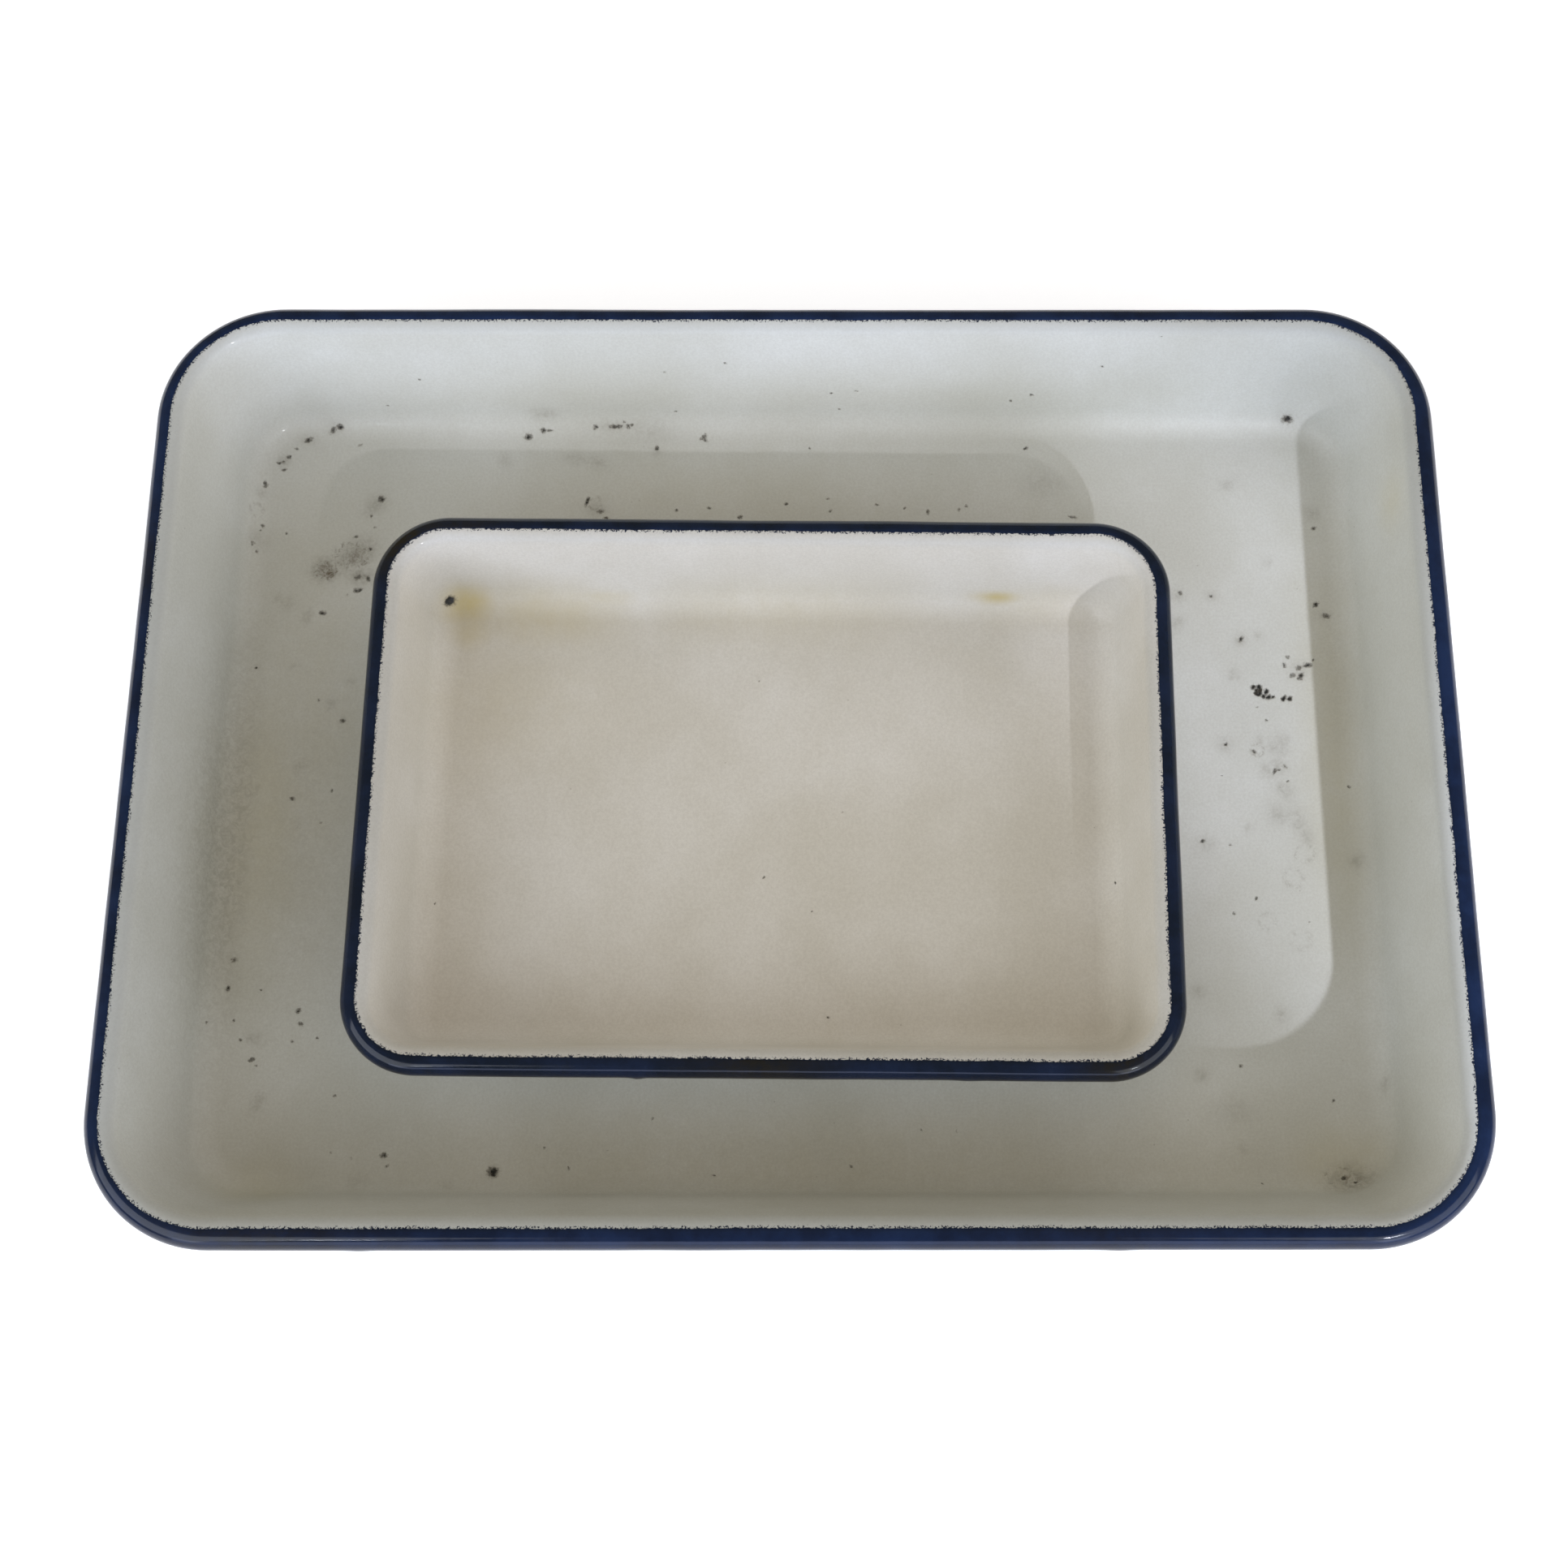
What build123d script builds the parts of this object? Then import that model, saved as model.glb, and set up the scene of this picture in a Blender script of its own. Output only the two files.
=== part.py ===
"""A nested pair of enamelled steel developing trays.

The large tray stands on the table, and the small tray lies loose on its floor, a little off centre.
Each tray is one pressed steel pan whose edge is curled outward over a stiffening wire. A thin dark
ground coat is fired on the steel, except inside the curl. Over it lie a white enamel coat inside,
a white enamel coat outside and underneath, and a navy enamel coat round the rim bead.

Millimetres, +Z up. The origin is the middle of the large tray's footprint, on the table.
"""

import math
import os

from build123d import *

# Large tray
LARGE_WIDTH = 400.0            # outside of the bead, along X
LARGE_LENGTH = 294.0           # outside of the bead, along Y
LARGE_HEIGHT = 44.5            # table to the top of the bead
LARGE_CORNER_RADIUS = 38.0     # in plan, outside of the bead
LARGE_BEAD_DIAMETER = 9.6
LARGE_FLOOR_INSET = 20.4       # bead's outside to the line where floor and wall meet
LARGE_BEND_RADIUS = 9.0        # between floor and wall, on the steel's upper face
LARGE_SHEET = 0.9

# Small tray
SMALL_WIDTH = 247.0
SMALL_LENGTH = 175.0
SMALL_HEIGHT = 34.6
SMALL_CORNER_RADIUS = 23.0
SMALL_BEAD_DIAMETER = 8.6
SMALL_FLOOR_INSET = 15.2
SMALL_BEND_RADIUS = 9.0
SMALL_SHEET = 0.8

# Where the small tray lies on the large tray's floor
SMALL_X = -7.8
SMALL_Y = -10.2
SMALL_TURN = -0.55             # degrees about Z

# Shared
GROUND = 0.1                   # dark ground coat on the steel, each side
COVER = 0.2                    # white or navy enamel over the ground coat
COAT = GROUND + COVER
WIRE_CLEARANCE = 0.05          # between the wire and the curl round it
WIRE_GAP = 1.0                 # where the two ends of the wire meet, at the back
NAVY_START = 6.0               # degrees inward from the bead's top, where white enamel meets navy
CREVICE = 0.35                 # between the curl's cut edge and the outer coat's plane
OUTER_COAT_DROP = 0.8          # the outer coats stop this far below the curl's cut edge


class Tray:
    """The sizes of one tray, and the path of its sheet metal in section.

    In section, n runs outward from the corner's axis and z runs up from the tray's own underside.
    The path is the steel's upper face: floor, bend, sloping wall, and the curl over the wire.
    An offset is positive towards the inside of the tray, and so outward from the curl.
    """

    def __init__(self, width, length, height, corner, bead, inset, bend, sheet):
        self.half_x = width / 2 - corner
        self.half_y = length / 2 - corner
        self.sheet = sheet
        self.bend = bend
        self.floor = COAT + sheet
        self.curl = bead / 2 - COAT
        self.wire = self.curl - sheet - WIRE_CLEARANCE
        self.bead_n = corner - bead / 2
        self.bead_z = height - bead / 2
        self.lean, self.bend_n = self.wall_line(corner - inset)
        self.curl_start = 180 - self.lean
        self.navy_start = 90 + NAVY_START
        self.curl_end = self.curl_start - 360 + self.curl_opening()

    def wall_line(self, crease_n):
        """Degrees that the wall leans out from upright, and n where the floor's bend starts.

        The crease is where the enamel of floor and wall would meet with no bend between them.
        The wall runs from there to a tangent of the bead.
        """
        rise = self.bead_z - self.floor - COAT
        run = self.bead_n - crease_n
        lean = math.atan2(run, rise) - math.asin((self.curl + COAT) / math.hypot(run, rise))
        half_bend = math.radians(45) - lean / 2
        steel_crease_n = crease_n + COAT * math.tan(half_bend)
        return math.degrees(lean), steel_crease_n - self.bend * math.tan(half_bend)

    def curl_opening(self):
        """Degrees left open between the wall and the curl's cut edge."""
        reach = self.curl - self.sheet - COAT - CREVICE
        return math.degrees(math.acos(reach / (self.curl + COAT)))

    def on_curl(self, offset, degrees):
        radius = self.curl + offset
        angle = math.radians(degrees)
        return self.bead_n + radius * math.cos(angle), self.bead_z + radius * math.sin(angle)

    def on_bend(self, offset, degrees):
        radius = self.bend - offset
        angle = math.radians(degrees)
        return self.bend_n + radius * math.cos(angle), self.floor + self.bend + radius * math.sin(angle)

    def on_wall(self, offset, drop):
        """A point on the wall, that far down from where the curl starts."""
        n, z = self.on_curl(offset, self.curl_start)
        lean = math.radians(self.lean)
        return n - drop * math.sin(lean), z - drop * math.cos(lean)

    def outer_coat_top(self):
        """How far down the wall the outer coats stop."""
        opening = math.radians(self.curl_opening())
        return (self.curl + COAT) * math.sin(opening) + OUTER_COAT_DROP


def curl_arc(tray, offset, first, last):
    angles = (first, (first + last) / 2, last)
    return ThreePointArc(*(tray.on_curl(offset, angle) for angle in angles))


def floor_to_wall(tray, offset, wall_end):
    """The path along the floor from the corner's axis, round the bend and up the wall."""
    angles = (-90, -90 + (90 - tray.lean) / 2, -tray.lean)
    first, middle, last = (tray.on_bend(offset, angle) for angle in angles)
    floor = Line((0, tray.floor + offset), first)
    return [floor, ThreePointArc(first, middle, last), Line(last, wall_end)]


def layer(paths, ends):
    """The section between two offset paths, as a face with n along X and z along Z."""
    return Plane.XZ * make_face(paths + [Line(a, b) for a, b in ends])


def upper_layer(tray, low, high, curl_end):
    """A layer over the floor, up the wall and round the curl, on or in the steel's upper face."""
    paths = []
    for offset in (low, high):
        paths += floor_to_wall(tray, offset, tray.on_curl(offset, tray.curl_start))
        paths.append(curl_arc(tray, offset, tray.curl_start, curl_end))
    floor_end = ((0, tray.floor + low), (0, tray.floor + high))
    rim_end = (tray.on_curl(low, curl_end), tray.on_curl(high, curl_end))
    return layer(paths, [floor_end, rim_end])


def lower_layer(tray, low, high):
    """A layer under the floor and up the outside of the wall, to below the curl."""
    tops = [tray.on_wall(offset, tray.outer_coat_top()) for offset in (low, high)]
    paths = floor_to_wall(tray, low, tops[0]) + floor_to_wall(tray, high, tops[1])
    floor_end = ((0, tray.floor + low), (0, tray.floor + high))
    return layer(paths, [floor_end, tops])


def bead_layer(tray, low, high):
    """A layer round the bead only, from where the navy enamel starts to the curl's cut edge."""
    bounds = (tray.navy_start, tray.curl_end)
    paths = [curl_arc(tray, offset, *bounds) for offset in (low, high)]
    ends = [(tray.on_curl(low, angle), tray.on_curl(high, angle)) for angle in bounds]
    return layer(paths, ends)


def round_the_tray(tray, face):
    """The section carried along the four sides and turned round the four corners."""
    sides = [
        (tray.half_x, -tray.half_y, 0, 2 * tray.half_y),
        (tray.half_x, tray.half_y, 90, 2 * tray.half_x),
        (-tray.half_x, tray.half_y, 180, 2 * tray.half_y),
        (-tray.half_x, -tray.half_y, 270, 2 * tray.half_x),
    ]
    pieces = []
    for x, y, turn, run in sides:
        side = extrude(face, amount=run, dir=(0, 1, 0))
        corner = revolve(face, axis=Axis.Z, revolution_arc=90)
        pieces.append(Pos(x, y) * Rot(0, 0, turn) * side)
        pieces.append(Pos(x, y) * Rot(0, 0, turn - 90) * corner)
    return pieces


def fused(pieces):
    return pieces[0].fuse(*pieces[1:]).clean()


def with_floor(tray, face, low, high):
    """A layer's walls and corners, joined to its floor between the corners' axes."""
    middle = Box(2 * tray.half_x, 2 * tray.half_y, high - low)
    slab = Pos(0, 0, tray.floor + (low + high) / 2) * middle
    return fused([slab] + round_the_tray(tray, face))


def over_steel(tray, low, high, curl_end):
    return with_floor(tray, upper_layer(tray, low, high, curl_end), low, high)


def under_steel(tray, low, high):
    low, high = -tray.sheet - high, -tray.sheet - low
    return with_floor(tray, lower_layer(tray, low, high), low, high)


def steel_pan(tray):
    return over_steel(tray, -tray.sheet, 0, tray.curl_end)


def rim_wire(tray):
    circle = Plane.XZ * (Pos(tray.bead_n, tray.bead_z) * Circle(tray.wire))
    ring = fused(round_the_tray(tray, circle))
    cut = Box(WIRE_GAP, 4 * tray.wire, 4 * tray.wire)
    return ring - Pos(0, tray.half_y + tray.bead_n, tray.bead_z) * cut


def ground_coat(tray):
    return Compound([over_steel(tray, 0, GROUND, tray.curl_end), under_steel(tray, 0, GROUND)])


def inner_enamel(tray):
    return over_steel(tray, GROUND, COAT, tray.navy_start)


def outer_enamel(tray):
    return under_steel(tray, GROUND, COAT)


def rim_enamel(tray):
    return fused(round_the_tray(tray, bead_layer(tray, GROUND, COAT)))


PIECES = {
    "steel_pan": steel_pan,
    "rim_wire": rim_wire,
    "ground_coat": ground_coat,
    "inner_enamel": inner_enamel,
    "outer_enamel": outer_enamel,
    "rim_enamel": rim_enamel,
}

large = Tray(
    LARGE_WIDTH, LARGE_LENGTH, LARGE_HEIGHT, LARGE_CORNER_RADIUS,
    LARGE_BEAD_DIAMETER, LARGE_FLOOR_INSET, LARGE_BEND_RADIUS, LARGE_SHEET,
)
small = Tray(
    SMALL_WIDTH, SMALL_LENGTH, SMALL_HEIGHT, SMALL_CORNER_RADIUS,
    SMALL_BEAD_DIAMETER, SMALL_FLOOR_INSET, SMALL_BEND_RADIUS, SMALL_SHEET,
)
small_place = Pos(SMALL_X, SMALL_Y, large.floor + COAT) * Rot(0, 0, SMALL_TURN)

os.makedirs("parts", exist_ok=True)
for name, tray, place in (("large", large, Pos(0, 0, 0)), ("small", small, small_place)):
    print(f"{name} tray: wall leans {tray.lean:.1f} degrees, wire diameter {2 * tray.wire:.1f}")
    for piece, make in PIECES.items():
        export_step(place * make(tray), f"parts/{name}_{piece}.step")
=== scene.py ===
"""The look of a nested pair of white enamelled developing trays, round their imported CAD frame.

Each tray's three cover coats (white inside, white outside, navy round the rim) are rebuilt here as finely
divided closed coats of the same thickness, so that they can carry what a fired and well used coat has:
an uneven white and navy line, thick and thin places, drips, chips down to the dark ground coat, stains.
The steel pans, the rim wires and the ground coats under them are the CAD's own.

Metres, +Z up, in the CAD's frame. Sizes are written in millimetres times MM.
"""

import math
import random
from functools import partial

import bmesh
import bpy
import numpy as np
from mathutils import Matrix, Vector, noise


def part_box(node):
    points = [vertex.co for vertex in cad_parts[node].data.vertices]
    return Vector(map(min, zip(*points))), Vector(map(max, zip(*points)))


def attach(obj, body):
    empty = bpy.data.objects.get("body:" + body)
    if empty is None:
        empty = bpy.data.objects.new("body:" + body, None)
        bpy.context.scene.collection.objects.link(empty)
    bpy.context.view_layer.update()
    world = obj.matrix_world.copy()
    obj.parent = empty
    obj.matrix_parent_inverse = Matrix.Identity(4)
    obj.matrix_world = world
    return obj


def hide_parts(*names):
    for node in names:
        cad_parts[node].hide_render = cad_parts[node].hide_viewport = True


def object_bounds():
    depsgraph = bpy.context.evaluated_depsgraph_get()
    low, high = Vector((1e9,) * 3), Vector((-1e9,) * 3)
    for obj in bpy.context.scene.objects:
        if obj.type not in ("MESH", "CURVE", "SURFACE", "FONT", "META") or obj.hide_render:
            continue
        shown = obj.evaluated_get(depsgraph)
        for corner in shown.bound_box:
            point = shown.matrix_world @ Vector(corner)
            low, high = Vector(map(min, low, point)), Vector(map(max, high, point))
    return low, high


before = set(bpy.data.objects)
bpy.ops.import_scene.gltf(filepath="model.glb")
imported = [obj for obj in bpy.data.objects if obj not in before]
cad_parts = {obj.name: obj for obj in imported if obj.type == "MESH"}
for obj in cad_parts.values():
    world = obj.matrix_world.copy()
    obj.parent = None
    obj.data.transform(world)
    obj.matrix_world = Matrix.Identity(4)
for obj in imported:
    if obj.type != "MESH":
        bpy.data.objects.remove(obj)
cad_low, cad_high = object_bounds()

MM = 0.001

# Coats, as in the CAD
GROUND = 0.1 * MM              # dark ground coat on the steel
COAT = 0.3 * MM                # ground coat and cover enamel together
NAVY_START = 96.0              # degrees round the bead, from level and outward, where navy begins
CREVICE = 0.35 * MM            # between the curl's cut edge and the outer coat's plane
OUTER_COAT_DROP = 0.8 * MM     # the outer coat stops this far below the curl's cut edge

# How the fired coats differ from the drawn ones
LINE_WOBBLE = 4.0              # degrees round the bead that the white and navy line wanders
NAVY_LIP = 0.06 * MM           # step up from the white onto the navy
NAVY_SWELL = 0.42 * MM         # navy's thickest places above its thinnest
WHITE_SWELL = 0.06 * MM
POOLED = 0.03 * MM             # extra white enamel that ran into the bend
POOL_REACH = 3.5 * MM          # how far on each side of the bend's crease it pooled
PRESSED = 0.02 * MM            # white worn away where the small tray stands on it
FOOT_MARGIN = 3 * MM           # and as far as this beside its foot
LINE_REACH = 6.0 * MM          # how far from the navy line the white turns grey
PIT_DEPTH = 0.16 * MM          # nearly through the cover coat
PIT_EDGE = (0.38, 0.6)         # strengths of a chip between which its wall goes down
DRIP_ANGLE = -25.0             # degrees round the bead at which drips hang

# Meshes
CORNER_STEPS = 26
BEND_STEPS = 10
WHITE_STEPS = 12               # of the white round the bead, as far as the navy line
NAVY_STEPS = 40                # of the navy round the rest of the bead
HIDDEN_WHITE_STEPS = 4         # of their hidden faces, on the ground coat
HIDDEN_NAVY_STEPS = 14
HIDDEN_STEP = 20 * MM          # of the hidden faces of floors and walls
CHIP_CUTS = 3                  # each cell under a chip is cut this many times
CHIP_REACH = 0.75              # in a chip's sizes from its middle, as far as cells are cut
MERGE = 0.001 * MM
SHARP_ANGLE = math.radians(50)


def smoothstep(low, high, value):
    share = np.clip((value - low) / (high - low), 0, 1)
    return share * share * (3 - 2 * share)


def wander(points, wavelength, seed):
    """Smooth noise between about -1 and 1 at each point, with that distance between its humps."""
    shift = Vector((seed * 7.31, seed * 3.17, seed * 1.93))
    return np.array([noise.noise(Vector(p) / wavelength + shift) for p in points])


# ---------------------------------------------------------------- the trays

class Tray:
    """The sizes of one tray, its section, and by how many degrees its navy line leans to the right.

    In section, n runs outward from the corner's axis and z runs up from the tray's own underside. An
    offset is measured from the steel's upper face, positive towards the inside of the tray.
    """

    def __init__(
        self, name, width, length, height, corner, bead, inset, bend, sheet, turn, step, line_right
    ):
        self.name = name
        self.half_x = width / 2 - corner
        self.half_y = length / 2 - corner
        self.sheet = sheet
        self.bend = bend
        self.floor = COAT + sheet
        self.curl = bead / 2 - COAT
        self.bead_n = corner - bead / 2
        self.bead_z = height - bead / 2
        self.crease_n = corner - inset
        self.lean, self.bend_n = self.wall_line()
        self.curl_start = math.pi - self.lean
        self.opening = self.curl_opening()
        self.curl_end = self.curl_start - 2 * math.pi + self.opening
        self.turn = math.radians(turn)
        self.step = step
        self.line_right = line_right
        self.place = self.placed()

    def wall_line(self):
        """The wall's lean from upright, and n where the floor's bend starts."""
        rise = self.bead_z - self.floor - COAT
        run = self.bead_n - self.crease_n
        lean = math.atan2(run, rise) - math.asin((self.curl + COAT) / math.hypot(run, rise))
        half_bend = math.pi / 4 - lean / 2
        return lean, self.crease_n + (COAT - self.bend) * math.tan(half_bend)

    def curl_opening(self):
        reach = self.curl - self.sheet - COAT - CREVICE
        return math.acos(reach / (self.curl + COAT))

    def placed(self):
        """Where the tray stands in the frame, from its CAD nodes' boxes."""
        low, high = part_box(self.name + "_rim_enamel")
        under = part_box(self.name + "_outer_enamel")[0].z
        middle = (low + high) / 2
        return Matrix.Translation((middle.x, middle.y, under)) @ Matrix.Rotation(self.turn, 4, "Z")

    def on_curl(self, offset, angle):
        radius = self.curl + offset
        return self.bead_n + radius * np.cos(angle), self.bead_z + radius * np.sin(angle)

    def on_bend(self, offset, angle):
        radius = self.bend - offset
        return self.bend_n + radius * np.cos(angle), self.floor + self.bend + radius * np.sin(angle)

    def floor_to_wall(self, offset, step, wall_drop=0.0):
        """Section points along the floor, round the bend and up the wall, as two arrays."""
        flat = np.linspace(0, self.bend_n, max(2, round(self.bend_n / step)) + 1)
        bend = np.linspace(-math.pi / 2, -self.lean, BEND_STEPS + 1)[1:]
        bend_n, bend_z = self.on_bend(offset, bend)
        top_n, top_z = self.on_curl(offset, self.curl_start)
        top_n = top_n - wall_drop * math.sin(self.lean)
        top_z = top_z - wall_drop * math.cos(self.lean)
        climb = max(1, round(math.hypot(top_n - bend_n[-1], top_z - bend_z[-1]) / step))
        share = np.linspace(0, 1, climb + 1)[1:]
        wall_n = bend_n[-1] + share * (top_n - bend_n[-1])
        wall_z = bend_z[-1] + share * (top_z - bend_z[-1])
        floor_z = 0 * flat + self.floor + offset
        return np.concatenate([flat, bend_n, wall_n]), np.concatenate([floor_z, bend_z, wall_z])

    def plan(self):
        """Stations round the tray: points on the rectangle through the corner axes, and directions out."""
        across = max(2, round(2 * self.half_x / self.step))
        along = max(2, round(2 * self.half_y / self.step))
        core, out = [], []
        corner = (self.half_x, -self.half_y)
        for quarter, count in enumerate((along, across, along, across)):
            angle = quarter * math.pi / 2
            ahead = np.array([-math.sin(angle), math.cos(angle)])
            run = 2 * (self.half_y, self.half_x)[quarter % 2]
            side = np.array(corner) + np.arange(count)[:, None] / count * run * ahead
            core.append(side)
            out.append(np.tile([math.cos(angle), math.sin(angle)], (count, 1)))
            corner = tuple(np.array(corner) + run * ahead)
            turning = angle + np.arange(CORNER_STEPS) / CORNER_STEPS * math.pi / 2
            core.append(np.tile(corner, (CORNER_STEPS, 1)))
            out.append(np.stack([np.cos(turning), np.sin(turning)], 1))
        return np.concatenate(core), np.concatenate(out), across, along

    def outward(self, x, y):
        """n of a point in plan."""
        past_x = abs(x) - self.half_x
        past_y = abs(y) - self.half_y
        if past_x > 0 and past_y > 0:
            return math.hypot(past_x, past_y)
        return max(0, past_x, past_y)

    def inside_point(self, x, y):
        """The point of the inner enamel's face that lies over or under (x, y) in plan."""
        n, z = self.floor_to_wall(COAT, self.step)
        return np.array([x, y, np.interp(self.outward(x, y), n, z)])


LARGE = Tray(
    "large", width=400 * MM, length=294 * MM, height=44.5 * MM, corner=38 * MM, bead=9.6 * MM,
    inset=20.4 * MM, bend=9 * MM, sheet=0.9 * MM, turn=0, step=1.8 * MM, line_right=7,
)
SMALL = Tray(
    "small", width=247 * MM, length=175 * MM, height=34.6 * MM, corner=23 * MM, bead=8.6 * MM,
    inset=15.2 * MM, bend=9 * MM, sheet=0.8 * MM, turn=-0.55, step=1.4 * MM, line_right=0,
)


# ---------------------------------------------------------------- marks of use, and painted shade

RING_RADIUS = 0.42             # of the line of a ring, in parts of the mark's size
RING_WIDTH = 0.12


def make_mark(kind, x, y, across, wide, turn, strength):
    """A mark at (x, y): wide stretches it along its own X, which turn then turns, in degrees."""
    return {
        "kind": kind, "x": x * MM, "y": y * MM, "size": across * MM,
        "wide": wide, "turn": math.radians(turn), "strength": strength,
    }


def chip(x, y, across, wide=1.0, turn=0.0, depth=0.85):
    """A place where the cover enamel has come off.

    At depth 1 its middle is down to the ground coat, and at more than 1 a wider part of it is.
    """
    return make_mark("chip", x, y, across, wide, turn, depth)


# Brown stains; the broad ones on the large tray's floor are painted shade.
def stain(x, y, across, wide=1.0, strength=1.0, turn=0.0):
    return make_mark("stain", x, y, across, wide, turn, strength)


def ring(x, y, across, wide=1.0, strength=1.0, turn=0.0):
    """The outline that a dried drop left."""
    return make_mark("ring", x, y, across, wide, turn, strength)


def tint(x, y, across, wide=1.0, strength=1.0, turn=0.0):
    """A yellow stain that has sunk into the glaze; the broad ones on the large tray's floor only yellow it
    where it lies in shade.
    """
    return make_mark("tint", x, y, across, wide, turn, strength)


deep_chip = partial(chip, depth=1.25)
faint_chip = partial(chip, depth=0.68)
smudge = partial(stain, strength=0.45)


def scattered(draw, count, start, end, spread, sizes, make=chip):
    """That many marks strewn along the line from start to end."""
    marks = []
    for _ in range(count):
        along = draw.random()
        x = start[0] + along * (end[0] - start[0]) + draw.gauss(0, spread)
        y = start[1] + along * (end[1] - start[1]) + draw.gauss(0, spread)
        marks.append(make(x, y, draw.uniform(*sizes), draw.uniform(1, 1.8), turn=draw.uniform(0, 180)))
    return marks


def large_marks():
    """The large tray's wear: knocks along the edge of its floor and what solutions left; also broad painted
    shade, and broad yellow where the floor lies in shade.
    """
    draw = random.Random(11)
    # Marks one by one, and then marks strewn along lines
    chips = (
        # x, y, across, wide, turn, depth
        (-155, 124, 1.5, 1.9, 50), (-152.5, 125, 1.6, 1.3, -15, 0.95), (-163, 121, 1.3, 2.0, 25, 0.75),
        (-171, 113, 0.9, 1, 0, 0.7), (-176, 104, 1.1, 1.6, 40, 0.75), (-168, 87, 0.8),
        (-137.5, 99.5, 1.9, 1.1, 30, 1.0), (-143, 67, 1.5, 1.7, 10), (-140, 81.5, 1.0, 1.3),
        (-143.5, 71.5, 1.4, 1.4, 20, 0.75), (-140, 71, 1.2, 1.5, -60, 0.75), (-85, 124, 1.5, 1.2, 0, 0.9),
        (-83, 124, 0.7, 3.2, 0, 0.75), (-90, 122, 1.9, 1.2, 20, 0.9), (-47, 118, 1.5, 0.8, 0, 1.0),
        (-31.5, 122, 1.3, 1.9, 50, 0.8), (-31, 121, 1.1, 1.8, -40, 0.8), (4, 118, 0.8),
        (76, 118, 1.1, 1.4, 20), (91, 93, 0.9, 3.0, -10, 0.75), (163, 127, 2.4, 1.4, -10, 1.1),
        (99, 134, 0.8), (119, 141, 0.6, 3.5, -5, 0.68), (116.5, 138, 0.5, 4.5, 80, 0.66),
        (-61, 125, 1.2, 2.2, 0, 0.85), (-69.5, 98.5, 1.1, 2.8, 75, 1.0), (-65, 95, 1.4, 1.4, 0, 0.85),
        (-63, 92.5, 1.1, 1.6, 0, 0.8), (-19, 93, 1.2, 1.3, 0, 0.85), (-40, 95.5, 1.0, 1.3, 0, 0.7),
        (-154, 59, 1.3, 1.5, -10, 0.95), (-145, 22, 1.3, 1.2, 0, 0.8), (-159, -4, 1.2, 1.2, 0, 0.85),
        (-174, 40, 0.8), (-173, -56, 1.3, 1.4, 10, 0.8), (-174, -65, 1.2, 1.3, 70, 0.8),
        (-171.5, -75, 0.8, 1, 0, 0.75), (-169, -81, 0.9, 1, 0, 0.8), (-165, -87, 1.1, 1.9, 20, 0.7),
        (-179, -76, 0.7, 1.5, 40, 0.7), (-152, -72, 1.3, 1.3, 40, 0.9), (-151, -76, 1.2, 1.5, -40, 0.85),
        (-123, -116, 1.5, 1.3, 0, 0.8), (-139, -98, 0.9, 1, 0, 0.7), (-139, -115, 0.8, 1, 0, 0.75),
        (-90, -121, 2.9, 1.1, 25, 1.1), (136, -89, 1.1), (165, -123, 1.2, 1.5, 20, 0.9),
        (168, -124.5, 0.8, 1.5, 0, 0.8), (125, 66, 1.1, 1.4, -50, 0.8), (135, 65, 1.0, 1, 0, 0.75),
        (144, 50, 1.2, 1.7, 60, 0.8), (170, 89, 1.1, 1.5, 35, 0.9), (169, 62, 1.4, 1.5, 55, 0.85),
        (172, 58, 1.4, 1.6, -10, 0.8), (137, 14, 1.0, 1.3, 40, 0.75), (146, 11.5, 1.0, 1.6, -50, 0.8),
        (152, 5, 0.8, 2.6, 70, 0.7), (128, -18, 1.0, 1.5, 30, 0.8), (165, 41, 1.7, 1.4, 0, 1.0),
        (162.5, 37.5, 1.6, 1.1, 30, 1.0),
    )
    stains = (
        # x, y, across, wide, strength, turn
        (-154, 125, 5, 1.3, 0.35), (-163, 121, 4, 1.5, 0.35), (-171, 113, 4, 1, 0.6),
        (-177, 101, 4, 1, 0.4), (-177, 84, 8, 0.9, 0.35), (-139.5, 97, 5.5, 1.7, 0.5, 50),
        (-154, 74, 7.5, 1.2, 1.3), (-152.5, 73, 3.5, 1.3, 1.5, 30), (-145, 79, 9, 1.6, 1.0, 40),
        (-141, 82, 3.5, 1.2, 0.7), (-142, 72, 6, 1.6, 0.75), (-84, 128, 5, 1.6, 0.45),
        (-47, 117, 3.5, 0.9, 0.45), (-50, 124, 8, 2.2, 0.3), (-74, 114, 4, 1.6, 0.45),
        (-67, 113, 4, 2, 0.4, -15), (-97, 113, 6, 0.7, 0.3), (81, 105, 9, 1.5, 0.3),
        (163, 127, 5, 1.3, 0.4), (-61, 125, 4, 3, 0.4), (-66, 96, 6, 1.2, 0.4), (-145, 22, 5, 1, 0.35),
        (-174, 40, 5, 1, 0.3), (-130, -124, 6, 1.4, 0.3), (-90, -121, 6, 1, 0.35), (-103, -125, 4, 1, 0.4),
        (124, -92, 4, 1, 0.5), (133, -103, 10, 1.5, 0.25), (167, -124, 10, 1.6, 0.85), (124, 65, 5, 1, 0.4),
        (135, 65, 4, 1, 0.35), (143.5, 49.5, 4, 1, 0.5), (172, 58, 5, 1.4, 0.4), (137, 14, 5, 1, 0.4),
        # The last mark of this row, a long band along the left bend, is painted shade. So is the next row:
        # broad darkening of the left floor, the front floor and the right band, where the floor lies in
        # shade.
        (176, -25, 5, 1, 0.5), (129, -19, 6, 1, 0.35), (162, 39, 6, 1, 0.4), (-178, -20, 130, 0.13, 0.5),
        (-155, -20, 150, 0.3, 0.2), (0, -120, 42, 7, 0.16), (174, 40, 70, 0.15, 0.16),
    )
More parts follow.
